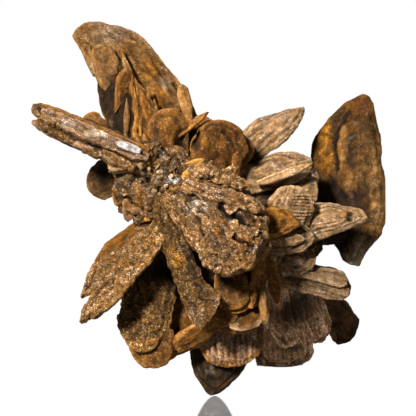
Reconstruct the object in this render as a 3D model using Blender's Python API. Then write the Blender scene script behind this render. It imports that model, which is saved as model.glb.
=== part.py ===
"""A gypsum sand rose: blades of sandy gypsum grown through one another from a core and its knots.

The rose is one solid. Every blade is laid out on the cluster's face, in millimetres from its heart, as
(across, rise, proud): across runs to the right, rise up the face, and proud out of the face towards the
viewer. The whole face then leans back and stands on the tips of its lowest blades, which are worn flat.
"""

import math
from collections import namedtuple

import bmesh
import bpy
from mathutils import Matrix, Vector, noise

MM = 0.001
TINY = 1e-6  # nearer than this to a pole or to the rim, a corner is on it

# Driving dimensions, in millimetres and degrees.
LEAN = 20.0  # how far the face of the cluster leans back
HEART_HEIGHT = 60.0  # the heart of the cluster above what it stands on
HEART_X = -1.43  # the heart from the middle of the rose's box
HEART_Y = -11.69
FLOOR_SIZE = 400.0  # the side of the block that wears the feet flat
FEWEST_RINGS = 4  # cross-sections along the shortest blade
RING_EVERY = 12.0  # a longer blade has one more for each such length
SIDES = 10  # corners round each cross-section
CHIPPING = 0.12  # how far a rim wanders, as a share of the blade's half width
STUMP = 0.5  # a blade's width where it leaves its root, as a share of its widest
ROOTING = 0.35  # how far a blade runs back into the cluster past its root, as a share of its length
ROUNDING = 0.35  # how much of a section is a plain oval, which rounds its rim
THINNING = 0.7  # how much of its thickness a blade loses by its tip
SWELLING = 0.18  # how far a face wanders, as a share of the blade's thickness

# How a blade narrows past its widest place: (1 - s ** power) ** root, s running 0 to 1 at the tip.
ENDS = {"round": (2.0, 0.5), "leaf": (1.7, 0.85), "spear": (1.25, 1.0), "blunt": (5.0, 0.55)}
# How a section thins from its middle to its rim: 1 - v ** power, v running 0 to 1 at the rim.
SECTIONS = {"lens": 2.0, "slab": 6.0}

Blade = namedtuple(
    "Blade",
    "name root tip left right thick faces widest end section rooting",
    defaults=(0.5, "leaf", "lens", ROOTING),
)
Knot = namedtuple("Knot", "name centre radii")

# The sandy knots that the blades grow from, round a core of gypsum.
KNOTS = (
    Knot("core", (2, -9, -17), (25, 22, 18)),
    Knot("upper_knot", (-16, 7, -4), (15, 13, 14)),
    Knot("lower_knot", (8, -19, -12), (15, 15, 14)),
    Knot("right_knot", (26, -8, -12), (13, 11, 12)),
    Knot("hub_left", (-29, 14, 3), (5, 4, 4)),
    Knot("hub_upper", (-19, 16, 8), (7, 5, 5)),
    Knot("hub_middle", (-13, 10, 10), (6, 6, 5)),
    Knot("hub_lower", (-19, 1, 8), (8, 7, 6)),
    Knot("hub_rim", (-25, 6, 4), (5, 7, 5)),
)

# name, root, tip, half widths left and right of its middle line as its face is seen with the tip up,
# thickness, the way its face looks, where it is widest, its end, its section and how far it runs back
# past its root. A half width is one number, shaped by the end, or several, read off at equal steps from
# the root to the tip.
CROWN = (
    Blade("top_fin", (-18, 23, -16), (-43, 64.5, -28), (12, 12, 11, 6.6, 6.8, 6.5), (18, 18, 18, 16, 13.5, 3), 9,
          (0.25, 0.1, 1)),
    Blade("top_fin_slab", (-26, 22, -9), (-35, 55, -20), 7, 6.5, 6, (-0.35, 0.1, 1), 0.5, "leaf"),
    Blade("top_fin_sliver", (-20, 22, -7), (-30, 55, -18), 3, 3.5, 5, (0.1, 0.1, 1), 0.4, "spear"),
    Blade("top_fin_splinter", (-17, 22, -7), (-25, 44, -13), 3, 4, 5, (0.3, 0.1, 1), 0.4, "leaf"),
    Blade("tab", (-30, 20, -15), (-42, 32, -20), 4, 4, 3, (0, 0.5, 1), 0.5, "blunt", "slab"),
    Blade("crest_disc", (-12, 15, 0), (-14, 33, 3), 7, 7, 4, (-0.1, 0.2, 1), 0.6, "round"),
    Blade("crest_shelf", (-9, 18, -4), (1.5, 29.5, -3), 6, 6, 3, (0.45, 0.75, 0.35), 0.6, "blunt", "slab"),
    Blade("crown_disc", (2, 9, 3), (5, 29, 9), 9.5, 9.5, 5, (0.15, 0.1, 1), 0.55, "round"),
    Blade("crown_disc_back", (3, 12, -3), (12, 24, 3), 6, 7, 4, (0.4, 0.2, 1), 0.6, "round"),
    Blade("upper_spear", (9, 16, -8), (33, 34, -17), 8, 6, 7, (-0.2, 0.5, 0.8), 0.5, "leaf"),
    Blade("upper_leaf", (11, 9, -2), (35, 16, -8), 7, 7, 6, (-0.1, 0.5, 0.85), 0.5, "round"),
    Blade("upper_leaf_shelf", (21, 5, -6), (37, 12, -11), 6, 6, 5, (-0.1, 0.7, 0.7), 0.6, "round"),
)
LEFT = (
    Blade("left_spear", (-19, 17, 5), (-58, 33, 8), 9, 8, 6, (0.3, 0.93, 0.2), 0.5, "blunt", "slab"),
    Blade("left_spear_under", (-26, 14, 5), (-58, 28.5, 8), 7, 7, 3.5, (0.3, 0.93, 0.1), 0.5, "leaf", "slab"),
    Blade("left_disc", (-28, 14, -11), (-41, 6.5, -18), 6.5, 6.5, 3.5, (-0.4, 0, 1), 0.6, "round"),
    Blade("left_disc_inner", (-23, 9, -4), (-30, 0.5, -9), 5, 5, 3, (-0.5, 0, 1), 0.6, "round"),
)
FRONT = (
    Blade("forked_blade", (-14, -5, 12), (-41, -37, 23), 6, 5, 5, (-0.5, 0.3, 0.8), 0.6, "leaf", "slab"),
    Blade("forked_blade_prong", (-16, -5, 10), (-41, -29, 19), 5, 6.5, 4, (-0.5, 0.3, 0.8), 0.6, "leaf", "slab"),
    Blade("forked_blade_ledge", (-17, -4, 8), (-38, -22, 15), 5, 6, 4, (-0.5, 0.3, 0.8), 0.6, "leaf", "slab"),
    Blade("middle_spear", (-13, -7, 15), (-2, -39, 23), 8, 5.5, 5, (-0.4, 0.1, 0.9), 0.6, "leaf"),
    Blade("middle_spear_back", (-8, -11, 8), (3, -37, 14), 7, 7, 4, (0.5, 0, 0.85), 0.7, "leaf"),
    Blade("big_leaf", (-15, -14, 0), (-22, -47, 12), 8, 10, 5, (-0.15, -0.1, 1), 0.6, "round"),
    Blade("big_leaf_under", (-3, -21, -6), (-21, -52.5, 6), (13, 15, 15.5, 12, 7, 2), (8, 12, 16, 16, 13, 5), 6,
          (-0.1, -0.3, 1)),
    Blade("front_block", (-7, 6, 8), (12, -19, 29), (7, 11, 17, 16, 14, 6), (7, 10.5, 9.5, 9, 9.5, 6), 14,
          (0.05, 0.2, 1), section="slab"),
    Blade("front_block_lobe", (2, -4, 20), (8.5, -20.5, 31), 9, 9, 6, (0.05, 0.15, 1), 0.6, "round", "slab"),
    Blade("front_block_cap", (-1, 4, 12), (1, 13, 20), 5, 6, 5, (0.1, 0.5, 1), 0.5, "round", "slab"),
)
RIGHT = (
    Blade("right_fin", (51, -20, -22), (54, 39.5, -24), (8, 12.5, 17.5, 19, 15, 4), (1.5, 8.5, 10, 8, 6, 3), 8,
          (-0.35, 0.1, 0.93), rooting=0),
    Blade("ribbed_leaf", (23, -11, 0), (30, 7, 7), 8, 8, 7, (0.1, 0.1, 1), 0.55, "round"),
    Blade("fin_root", (24, -8, -18), (58, -5, -21), 6, 6, 8, (0, 0.2, 1), 0.5, "blunt", "slab"),
    Blade("right_spear", (27, -8, -3), (53, -3.5, 2), 9, 6, 8, (0.1, 0.4, 0.9), 0.5, "leaf"),
    Blade("gold_wedge", (15, -4, 5), (30, -5.5, 11), 6, 5, 5, (-0.1, 0.3, 1), 0.5, "leaf"),
    Blade("right_slab", (17, -12, 1), (35, -9, 5), 5, 5, 6, (0, 0.2, 1), 0.6, "round"),
    Blade("right_slab_under", (20, -16, -4), (36, -18, -2), 6, 6, 6, (0, 0.3, 1), 0.6, "round"),
    Blade("low_spear", (23, -21, -6), (48, -27.5, -8), 8, 7, 7, (0.1, 0.7, 0.65), 0.6, "blunt"),
)
LOWER = (
    Blade("scallop_small", (6, -18, 3), (10, -33, 16), 5, 5, 3, (0.1, 0, 1), 0.6, "round"),
    Blade("scallop_upright", (19, -12, 4), (15, -32, 14), 4, 4, 3, (0.8, 0, 0.6), 0.6, "round"),
    Blade("scallop_wide", (8, -22, 1), (12, -41, 12), 9, 9, 4, (0.1, 0.1, 1), 0.6, "round"),
    Blade("small_spear", (21, -17, 0), (23, -32, 3), 2.2, 2.2, 2.5, (0, 0, 1), 0.6, "leaf"),
    Blade("foot_fan", (7, -31, -3), (8, -53, 1), 11, 11, 6, (0, 0.1, 1), 0.6, "round"),
    Blade("front_foot", (4, -38, -8), (1, -63, -4), 11, 9, 7, (0, -0.1, 1), 0.45, "leaf"),
    Blade("right_foot", (23, -31, -15), (28, -56, -27), 10, 11, 8, (0, -0.1, 1), 0.6, "blunt"),
    Blade("right_foot_shelf", (32, -28, -20), (40, -47, -33), 6, 6, 5, (0.2, -0.1, 1), 0.6, "round"),
    Blade("far_foot", (37, -27, -25), (52, -46, -46), 6, 7, 5, (0.4, 0, 1), 0.7, "blunt"),
)
BACK = (
    Blade("rear_foot", (-12, -20, -14), (-26, -46, -50), 10, 9, 7, (0.8, 0.2, -0.4), 0.6, "leaf"),
    Blade("rear_foot_inner", (4, -24, -18), (2, -44, -56), 9, 8, 6, (-0.7, 0.3, -0.2), 0.6, "round"),
    Blade("back_crest", (-22, 16, -14), (-24, 40, -44), 9, 10, 6, (0.9, 0.3, -0.3), 0.6, "leaf"),
    Blade("back_left", (-26, 8, -14), (-36, 12, -44), 9, 8, 6, (-0.2, 0.9, 0.2), 0.6, "round"),
    Blade("back_low_left", (-20, -6, -12), (-30, -16, -44), 8, 9, 5, (-0.6, 0.7, 0), 0.6, "leaf"),
    Blade("back_middle", (-8, 2, -14), (-8, 4, -60), 10, 10, 7, (0.5, 0.85, 0), 0.6, "leaf"),
    Blade("back_right", (18, -4, -18), (20, 6, -62), 10, 9, 7, (-0.6, 0.8, 0.1), 0.6, "round"),
    Blade("back_low", (10, -18, -20), (12, -22, -64), 9, 9, 6, (0.7, 0.7, 0), 0.55, "leaf"),
    Blade("back_far_right", (30, -10, -20), (46, -2, -54), 9, 8, 6, (0.3, 0.9, 0.2), 0.6, "round"),
    Blade("back_low_right", (26, -18, -20), (38, -26, -58), 8, 9, 6, (0.7, 0.3, 0.5), 0.6, "leaf"),
    Blade("back_upper_right", (6, 10, -12), (14, 22, -42), 8, 8, 6, (0.9, -0.4, 0), 0.6, "round"),
)
BLADES = CROWN + LEFT + FRONT + RIGHT + LOWER + BACK


def clear_scene():
    for item in list(bpy.data.objects):
        bpy.data.objects.remove(item)


def stand():
    """The matrix that takes the face's millimetres to the standing rose's metres."""
    heart = Matrix.Translation(Vector((HEART_X, HEART_Y, HEART_HEIGHT)) * MM)
    # across, rise and proud as the row frame's directions before the lean
    face = Matrix(((1, 0, 0, 0), (0, 0, -1, 0), (0, 1, 0, 0), (0, 0, 0, 1)))
    lean = Matrix.Rotation(math.radians(-LEAN), 4, "X")
    return heart @ lean @ face @ Matrix.Scale(MM, 4)


def seed_of(name):
    """A number of a blade's own, so that no two chip alike."""
    return sum((place + 1) * ord(letter) for place, letter in enumerate(name)) % 997


def smooth_between(values, share):
    """The value at this share of a row of evenly spaced values, on a smooth curve through them."""
    place = min(max(share, 0.0), 1.0) * (len(values) - 1)
    first = min(int(place), len(values) - 2)
    before, start, end, after = (values[min(max(first + step, 0), len(values) - 1)] for step in (-1, 0, 1, 2))
    t = place - first
    return 0.5 * (
        2 * start
        + (end - before) * t
        + (2 * before - 5 * start + 4 * end - after) * t**2
        + (3 * start - before - 3 * end + after) * t**3
    )


def half_width(blade, along, side, seed):
    edge = blade.right if side > 0 else blade.left
    if isinstance(edge, tuple):
        width = smooth_between(edge, along)
    elif along < blade.widest:
        width = edge * math.sqrt(1 - (1 - STUMP**2) * ((blade.widest - along) / blade.widest) ** 2)
    else:
        power, root = ENDS[blade.end]
        width = edge * max(0.0, 1 - ((along - blade.widest) / (1 - blade.widest)) ** power) ** root
    return width * (1 + CHIPPING * noise.noise(Vector((along * 6, side * 3, seed))))


def half_thickness(blade, along, across, seed):
    power = SECTIONS[blade.section]
    past = max(0.0, (along - blade.widest) / (1 - blade.widest))
    thinning = 1 - THINNING * past**power
    belly = (1 - ROUNDING) * (1 - abs(across) ** power) + ROUNDING * math.sqrt(max(0.0, 1 - across**2))
    lump = 1 + SWELLING * noise.noise(Vector((along * 4, across * 2, seed + 0.5)))
    return blade.thick / 2 * thinning * belly * lump


def crystal(blade):
    """One blade, from a globe with its poles at the root and the tip."""
    seed = seed_of(blade.name)
    root, tip = Vector(blade.root), Vector(blade.tip)
    length = (tip - root).length
    forward = (tip - root) / length
    outward = Vector(blade.faces) - forward * forward.dot(Vector(blade.faces))
    outward.normalize()
    sideways = forward.cross(outward)
    shape = bmesh.new()
    rings = FEWEST_RINGS + round(length / RING_EVERY)
    bmesh.ops.create_uvsphere(shape, u_segments=SIDES, v_segments=rings, radius=1)
    for corner in shape.verts:
        along = min(1.0, max(0.0, (1 + corner.co.z) / 2))
        spread = math.hypot(corner.co.x, corner.co.y)
        across = corner.co.x / spread if spread > TINY else 0.0
        width = half_width(blade, along, across, seed)
        depth = half_thickness(blade, along, across, seed)
        off_middle = depth if corner.co.y > TINY else -depth if corner.co.y < -TINY else 0.0
        sunk = blade.rooting * (1 - along) ** 4
        corner.co = (
            root
            + forward * ((along - sunk) * length)
            + sideways * (across * width)
            + outward * (off_middle if spread > TINY else 0.0)
        )
    bmesh.ops.triangulate(shape, faces=shape.faces)
    bmesh.ops.recalc_face_normals(shape, faces=shape.faces)
    return to_object(blade.name, shape)


def knot(lump):
    """A rough ball of sand."""
    shape = bmesh.new()
    bmesh.ops.create_icosphere(shape, subdivisions=2, radius=1)
    for corner in shape.verts:
        rough = 1 + 0.25 * noise.noise(corner.co * 1.7 + Vector(lump.centre))
        corner.co = Vector(
            centre + radius * part * rough
            for centre, radius, part in zip(lump.centre, lump.radii, corner.co)
        )
    return to_object(lump.name, shape)


def to_object(name, shape):
    mesh = bpy.data.meshes.new(name)
    shape.to_mesh(mesh)
    shape.free()
    item = bpy.data.objects.new(name, mesh)
    bpy.context.scene.collection.objects.link(item)
    return item


def applied(item):
    """The object with its modifiers made part of its mesh."""
    graph = bpy.context.evaluated_depsgraph_get()
    item.data = bpy.data.meshes.new_from_object(item.evaluated_get(graph))
    item.modifiers.clear()
    return item


def cut_or_join(item, other, operation):
    """Joins the other solid to the item, or cuts it from the item, and removes it."""
    change = item.modifiers.new("change", "BOOLEAN")
    change.operation = operation
    change.object = other
    change.solver = "EXACT"
    applied(item)
    bpy.data.objects.remove(other)


def drop_inner_shells(item):
    """Leaves only the outer surface: where blades close a space off between them, it fills with gypsum."""
    shape = bmesh.new()
    shape.from_mesh(item.data)
    shape.faces.ensure_lookup_table()
    left = set(shape.faces)
    shells = []
    while left:
        shell = set()
        front = [left.pop()]
        while front:
            face = front.pop()
            shell.add(face)
            near = {other for edge in face.edges for other in edge.link_faces} & left
            left -= near
            front.extend(near)
        shells.append(shell)
    outer = max(shells, key=lambda shell: sum(face.calc_area() for face in shell))
    inner = [face for shell in shells if shell is not outer for face in shell]
    bmesh.ops.delete(shape, geom=inner, context="FACES")
    shape.to_mesh(item.data)
    shape.free()


def wear_feet(item):
    """Cuts the rose off at the plane it stands on, which leaves a small flat on each foot."""
    bpy.ops.mesh.primitive_cube_add(size=FLOOR_SIZE * MM, location=(0, 0, -FLOOR_SIZE * MM / 2))
    cut_or_join(item, bpy.context.object, "DIFFERENCE")


def sandy_gypsum():
    material = bpy.data.materials.new("sandy_gypsum")
    material.use_nodes = True
    surface = material.node_tree.nodes["Principled BSDF"]
    surface.inputs["Base Color"].default_value = (0.33, 0.19, 0.085, 1)
    surface.inputs["Roughness"].default_value = 0.75
    surface.inputs["Metallic"].default_value = 0
    return material


def main():
    clear_scene()
    parts = [knot(lump) for lump in KNOTS] + [crystal(blade) for blade in BLADES]
    for part in parts:
        part.data.transform(stand())
    rose, *others = parts
    rose.name = "sand_rose"
    for other in others:
        cut_or_join(rose, other, "UNION")
    drop_inner_shells(rose)
    wear_feet(rose)
    rose.data.materials.clear()
    rose.data.materials.append(sandy_gypsum())


if __name__ == "__main__":
    main()
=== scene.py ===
"""The looks of a gypsum sand rose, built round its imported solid.

Lengths are in millimetres on the cluster's own face, as (across, rise, proud): across runs to the right,
rise up the face, and proud out of the face towards whoever looks at it. The face leans back 20 degrees.
"""

import itertools
import math
from collections import namedtuple

import bpy
import numpy as np
from mathutils import Matrix, Vector, noise
from mathutils.bvhtree import BVHTree


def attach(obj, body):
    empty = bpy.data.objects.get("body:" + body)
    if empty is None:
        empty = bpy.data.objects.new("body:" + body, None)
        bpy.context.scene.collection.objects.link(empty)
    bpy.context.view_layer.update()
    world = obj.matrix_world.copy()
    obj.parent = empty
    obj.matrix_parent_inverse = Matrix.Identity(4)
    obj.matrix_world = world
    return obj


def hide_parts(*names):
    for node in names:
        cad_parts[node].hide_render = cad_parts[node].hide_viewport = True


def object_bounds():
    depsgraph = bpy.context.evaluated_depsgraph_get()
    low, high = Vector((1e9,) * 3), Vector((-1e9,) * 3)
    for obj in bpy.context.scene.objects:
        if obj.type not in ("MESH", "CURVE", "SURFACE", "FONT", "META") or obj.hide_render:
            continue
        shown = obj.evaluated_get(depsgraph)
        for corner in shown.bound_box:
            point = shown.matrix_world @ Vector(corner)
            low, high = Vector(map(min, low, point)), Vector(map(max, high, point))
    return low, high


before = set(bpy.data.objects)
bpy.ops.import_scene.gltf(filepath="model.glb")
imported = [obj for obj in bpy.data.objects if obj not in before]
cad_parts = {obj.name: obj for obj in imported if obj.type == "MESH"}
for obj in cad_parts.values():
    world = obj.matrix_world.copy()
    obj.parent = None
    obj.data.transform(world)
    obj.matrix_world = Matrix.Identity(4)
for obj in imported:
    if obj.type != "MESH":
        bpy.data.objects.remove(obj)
bpy.ops.object.select_all(action="DESELECT")
cad_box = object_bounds()

# ---- The table, the light and the eye ----
# The rose stands on a plain pale table. A lamp hangs above it to the left, and a weak wide one stands to the
# right and another behind. The table and the room are white to look at but light little, so the gaps between
# the blades stay dark.

MM = 0.001
HEART = Vector((-1.43, -11.69, 60.0)) * MM  # the middle of the cluster's face, in the rose's own frame
LEAN = math.radians(20.0)
EYE_DISTANCE = 0.6
EYE_LENS = 156.0
EYE_SENSOR = 36.0
TABLE_WIDTH = 12.0
TABLE_GREY = (0.12, 0.115, 0.11, 1)
WHITE = (1, 1, 1, 1)
KEY_PLACE = Vector((-1.2, -1.8, 1.95))
KEY_WATTS = 268.0
KEY_WIDTH = 0.4
FILL_PLACE = Vector((0.6, -2.3, 0.15))
FILL_WATTS = 11.0
FILL_WIDTH = 1.2
BEHIND_PLACE = Vector((0.5, 2.6, 1.6))
BEHIND_WATTS = 45.0
ROOM_GLOW = 0.018
SHINE_PLACE = (0.0008, -0.0305)
SHINE_WIDENING = 0.049
SHINE_EDGE = 0.0006
SHINE = 0.78


def look_at_heart(item, place):
    item.location = place
    item.rotation_mode = "QUATERNION"
    item.rotation_quaternion = (HEART - place).to_track_quat("-Z", "Y")


def lamp(name, place, watts, width):
    data = bpy.data.lights.new(name, "AREA")
    data.energy = watts
    data.size = width
    item = bpy.data.objects.new(name, data)
    bpy.context.scene.collection.objects.link(item)
    look_at_heart(item, place)


def add_node(tree, kind, settings=(), **inputs):
    """A shader node with its settings made, and its inputs set or linked."""
    node = tree.nodes.new("ShaderNode" + kind)
    for setting, value in dict(settings).items():
        setattr(node, setting, value)
    for name, value in inputs.items():
        socket = node.inputs[int(name[1:])] if name[0] == "_" else node.inputs[name]
        if isinstance(value, bpy.types.NodeSocket):
            tree.links.new(value, socket)
        else:
            socket.default_value = value
    return node


def worked_out(tree, operation, *numbers, **settings):
    """The outcome of one step of arithmetic on shader values."""
    inputs = {f"_{place}": number for place, number in enumerate(numbers)}
    return add_node(tree, "Math", {"operation": operation, **settings}, **inputs).outputs["Value"]


def bright_to_the_eye(tree, seen, lit):
    """A shader that the eye, and its mirror image, sees as one thing and the light as another."""
    path = add_node(tree, "LightPath").outputs
    either = worked_out(tree, "MAXIMUM", path["Is Camera Ray"], path["Is Singular Ray"])
    return add_node(tree, "MixShader", _0=either, _1=lit, _2=seen).outputs["Shader"]


eye_data = bpy.data.cameras.new("eye")
eye_data.lens = EYE_LENS
eye_data.sensor_width = EYE_SENSOR
eye = bpy.data.objects.new("eye", eye_data)
bpy.context.scene.collection.objects.link(eye)
bpy.context.scene.camera = eye
look_at_heart(eye, HEART + EYE_DISTANCE * Vector((0, -math.cos(LEAN), math.sin(LEAN))))

lamp("key", HEART + KEY_PLACE, KEY_WATTS, KEY_WIDTH)
lamp("fill", HEART + FILL_PLACE, FILL_WATTS, FILL_WIDTH)
lamp("behind", HEART + BEHIND_PLACE, BEHIND_WATTS, FILL_WIDTH)

room = bpy.data.worlds.new("room")
bpy.context.scene.world = room
room.use_nodes = True
sky = room.node_tree
glow = sky.nodes["Background"]
glow.inputs["Color"].default_value = WHITE
glow.inputs["Strength"].default_value = ROOM_GLOW
seen_room = add_node(sky, "Background", Color=WHITE).outputs["Background"]
either_room = bright_to_the_eye(sky, seen_room, glow.outputs["Background"])
sky.links.new(either_room, sky.nodes["World Output"].inputs["Surface"])

bpy.ops.mesh.primitive_plane_add(size=TABLE_WIDTH, location=(0, 0, 0))
table = bpy.context.object
table.name = "table"
table_top = bpy.data.materials.new("table_top")
table_top.use_nodes = True
top = table_top.node_tree
white = add_node(top, "Emission", Color=WHITE, Strength=1.0).outputs["Emission"]
mirror = add_node(top, "BsdfGlossy", Color=WHITE, Roughness=0.0).outputs["BSDF"]
spot = add_node(top, "SeparateXYZ", Vector=add_node(top, "TexCoord").outputs["Object"]).outputs
before = worked_out(top, "SUBTRACT", SHINE_PLACE[1], spot["Y"], use_clamp=True)
half = worked_out(top, "MULTIPLY", worked_out(top, "SQRT", before), SHINE_WIDENING)
aside = worked_out(top, "ABSOLUTE", worked_out(top, "SUBTRACT", spot["X"], SHINE_PLACE[0]))
inside = worked_out(top, "SUBTRACT", half, aside)
shine = add_node(top, "MapRange", Value=inside, _1=0.0, _2=SHINE_EDGE, _3=0.0, _4=SHINE)
shown = add_node(top, "MixShader", _0=shine.outputs["Result"], _1=white, _2=mirror).outputs["Shader"]
dull = add_node(top, "BsdfDiffuse", Color=TABLE_GREY).outputs["BSDF"]
top.links.new(bright_to_the_eye(top, shown, dull), top.nodes["Material Output"].inputs["Surface"])
table.data.materials.append(table_top)
bpy.context.scene.view_settings.view_transform = "Standard"
bpy.ops.object.select_all(action="DESELECT")

# ---- The heart: sandy knots and the crumbs on them ----
# The blades of the rose grew out of a core of gypsum that took in the sand round it. Where no blade covers
# the core it shows as rough knots, crusted with broken bits of crystal a few millimetres long.

STEP = 0.36  # the distance between neighbouring points of a finished surface
CHIPPING = 0.12
STUMP = 0.5
ROOTING = 0.35
THINNING = 0.7
ROUNDING = 0.35
SWELLING = 0.18
CRUSTS = ((5.0, 2.2), (2.4, 1.0))  # the size of a crust's lumps, and the depth of the creases round them
CREASE_WIDTH = 0.09
NICKS = ((0.8, 0.35), (2.0, 0.6))  # the size of the nicks in a rim, and how deep they go
WARMTH = (0.455, 0.39, 0.258)  # what the light leaves of each look in red, green and blue
ROOT_TURN = 0.05
TIP_TURN = 0.93  # where a blade with a row of widths starts to close round its tip
EVENNESS = 0.5  # 0 crowds a surface's points to its rims, 1 spreads them evenly
SEEN_FROM = 600.0  # how far off the eye is, in millimetres

ENDS = {"round": (2.0, 0.5), "leaf": (1.7, 0.85), "spear": (1.25, 1.0), "blunt": (5.0, 0.55)}
SECTIONS = {"lens": 2.0, "slab": 6.0}

# A look is a colour and the colour of the rims, how sandy it is, the height of its lumps, the thickness of
# its layers and how far they show as ledges, the height of the streaks along it and of its grains, and how
# far its rims are nicked.
Look = namedtuple("Look", "tint rim sand lumps layer ledge streaks grains nicks")
SANDY = Look((0.22, 0.115, 0.043), (0.38, 0.205, 0.075), 0.95, 0.6, 1.2, 0.7, 0.04, 0.22, 0.9)
HONEY = Look((0.19, 0.079, 0.014), (0.38, 0.18, 0.048), 0.35, 0.5, 1.2, 0.7, 0.07, 0.10, 0.5)
AMBER = Look((0.150, 0.062, 0.014), (0.32, 0.150, 0.042), 0.5, 0.45, 1.0, 0.6, 0.05, 0.10, 0.5)
PALE = Look((0.35, 0.222, 0.132), (0.52, 0.36, 0.23), 0.3, 0.5, 1.2, 0.6, 0.16, 0.10, 0.4)
DUSKY = Look((0.12, 0.062, 0.025), (0.25, 0.14, 0.06), 0.3, 0.45, 1.1, 0.6, 0.12, 0.08, 0.5)
ASHEN = Look((0.025, 0.015, 0.0075), (0.075, 0.046, 0.024), 0.2, 0.4, 1.2, 0.5, 0.12, 0.05, 0.3)
CRUST = Look((0.086, 0.045, 0.019), (0.32, 0.2, 0.1), 0.8, 0.7, 1.1, 0.8, 0.0, 0.26, 0.9)
TAWNY = Look((0.235, 0.115, 0.036), (0.40, 0.22, 0.085), 0.3, 0.7, 1.5, 0.35, 0.04, 0.08, 0.2)
UMBER = Look((0.035, 0.016, 0.0036), (0.130, 0.063, 0.016), 0.3, 0.7, 1.4, 0.4, 0.04, 0.08, 0.2)
RUGGED = Look((0.155, 0.080, 0.031), (0.331, 0.185, 0.080), 0.95, 1.3, 1.6, 0.5, 0.25, 0.27, 1.4)
GOLDEN = Look((0.30, 0.135, 0.025), (0.50, 0.27, 0.07), 0.3, 0.3, 1.0, 0.2, 0.03, 0.10, 0.4)
GREYTAN = Look((0.215, 0.130, 0.082), (0.36, 0.225, 0.145), 0.5, 0.45, 1.1, 0.5, 0.26, 0.14, 0.6)
GLASSY = Look((0.34, 0.225, 0.12), (0.42, 0.30, 0.17), 0.1, 0.2, 1.0, 0.2, 0.06, 0.03, 0.3)
GOLD = (0.40, 0.17, 0.018)
MILK = (0.80, 0.76, 0.68)
# Near black: painted shade in hollows, grooves, notches and cast shadows, and the dark brown middle of the
# right fin
SHADE_AND_DARK_BROWN = (0.03, 0.016, 0.007)
RUST = (0.22, 0.075, 0.014)

Blade = namedtuple(
    "Blade",
    "name root tip left right thick faces widest end section rooting look",
    defaults=(0.5, "leaf", "lens", ROOTING, HONEY),
)
Knot = namedtuple("Knot", "name centre radii")
# A spot colours and lifts a round place on a blade's front, and a crack sinks a line across it. Both are
# placed as the eye sees them, in millimetres right of and above the heart.
Spot = namedtuple("Spot", "place reach tint share lift", defaults=(0.0,))
Crack = namedtuple("Crack", "points width depth")
Ribs = namedtuple("Ribs", "place reach pitch height across", defaults=((0.0, 1.0),))

KNOTS = (
    Knot("core", (2, -9, -17), (25, 22, 18)),
    Knot("upper_knot", (-16, 7, -4), (15, 13, 14)),
    Knot("lower_knot", (8, -19, -12), (15, 15, 14)),
    Knot("right_knot", (26, -8, -12), (13, 11, 12)),
    Knot("hub_left", (-29, 14, 3), (5, 4, 4)),
    Knot("hub_upper", (-19, 16, 8), (7, 5, 5)),
    Knot("hub_middle", (-13, 10, 10), (6, 6, 5)),
    Knot("hub_lower", (-19, 1, 8), (8, 7, 6)),
    Knot("hub_rim", (-25, 6, 4), (5, 7, 5)),
)

dice = np.random.default_rng(11)
SHUFFLED = dice.permutation(256)
SLOPES = dice.normal(size=(256, 3))
SLOPES /= np.linalg.norm(SLOPES, axis=1)[:, None]
SEEDS = dice.uniform(size=(256, 3))


def seed_of(name):
    """A number of a blade's own, so that no two chip alike."""
    return sum((place + 1) * ord(letter) for place, letter in enumerate(name)) % 997


def unit(direction):
    direction = np.asarray(direction, dtype=float)
    return direction / np.linalg.norm(direction)


def shifted(points, size, seed):
    return np.asarray(points, dtype=float) / size + np.array((0.731, 0.317, 0.553)) * seed + 500


def pick(cell):
    """A number from 0 to 255 for each cell of space."""
    near = cell & 255
    return SHUFFLED[(SHUFFLED[(SHUFFLED[near[:, 0]] + near[:, 1]) & 255] + near[:, 2]) & 255]


def clouds(points, size, seed=0.0):
    """Smooth noise, mostly from -1 to 1, in lumps of about this size."""
    places = shifted(points, size, seed)
    cell = np.floor(places).astype(int)
    inside = places - cell
    ease = inside**3 * (inside * (inside * 6 - 15) + 10)
    total = np.zeros(len(places))
    for corner in itertools.product((0, 1), repeat=3):
        weight = np.prod(np.where(corner, ease, 1 - ease), axis=1)
        total += weight * ((inside - corner) * SLOPES[pick(cell + corner)]).sum(axis=1)
    return 1.6 * total


def rough(points, size, seed=0.0, finest=0.7):
    """Clouds with smaller clouds on them, down to the finest size."""
    total = np.zeros(len(points))
    share = 1.0
    while size >= finest:
        total += share * clouds(points, size, seed)
        seed += 17
        size /= 2
        share /= 2.4
    return total


def grit(points, size, seed=0.0):
    """Round grains pressed together: 1 at the middle of a grain, 0 in the creases between grains."""
    places = shifted(points, size, seed)
    cell = np.floor(places).astype(int)
    nearest = np.full(len(places), 9.0)
    for corner in itertools.product((-1, 0, 1), repeat=3):
        gap = cell + corner + SEEDS[pick(cell + corner)] - places
        nearest = np.minimum(nearest, (gap**2).sum(axis=1))
    return np.clip(1 - nearest, 0, 1)


def corners_of(mesh):
    corners = np.empty(len(mesh.vertices) * 3)
    mesh.vertices.foreach_get("co", corners)
    return corners.reshape(-1, 3)


def normals_of(mesh):
    normals = np.empty(len(mesh.vertices) * 3)
    mesh.vertices.foreach_get("normal", normals)
    return normals.reshape(-1, 3)


def put_corners(mesh, corners):
    mesh.vertices.foreach_set("co", np.ascontiguousarray(corners, dtype=np.float32).ravel())
    mesh.update()


SPACE_EDGE = 12
# Painted shade: the gaps between the blades are darkened the more the gypsum shuts them in.
GAP_SHADE = 6.0
GAP_START = 0.3
# Ridges are paled with painted highlight and wear, and creases darkened with painted shade.
RIDGES = {4: 0.3, 30: 0.9}  # rounds of smoothing, and how high above it a ridge is wholly worn
RIDGE_WEAR_AND_HIGHLIGHT = 0.8
CREASE_SHADE = 1.5
HOLLOW_SHADE = 2.4
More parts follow.
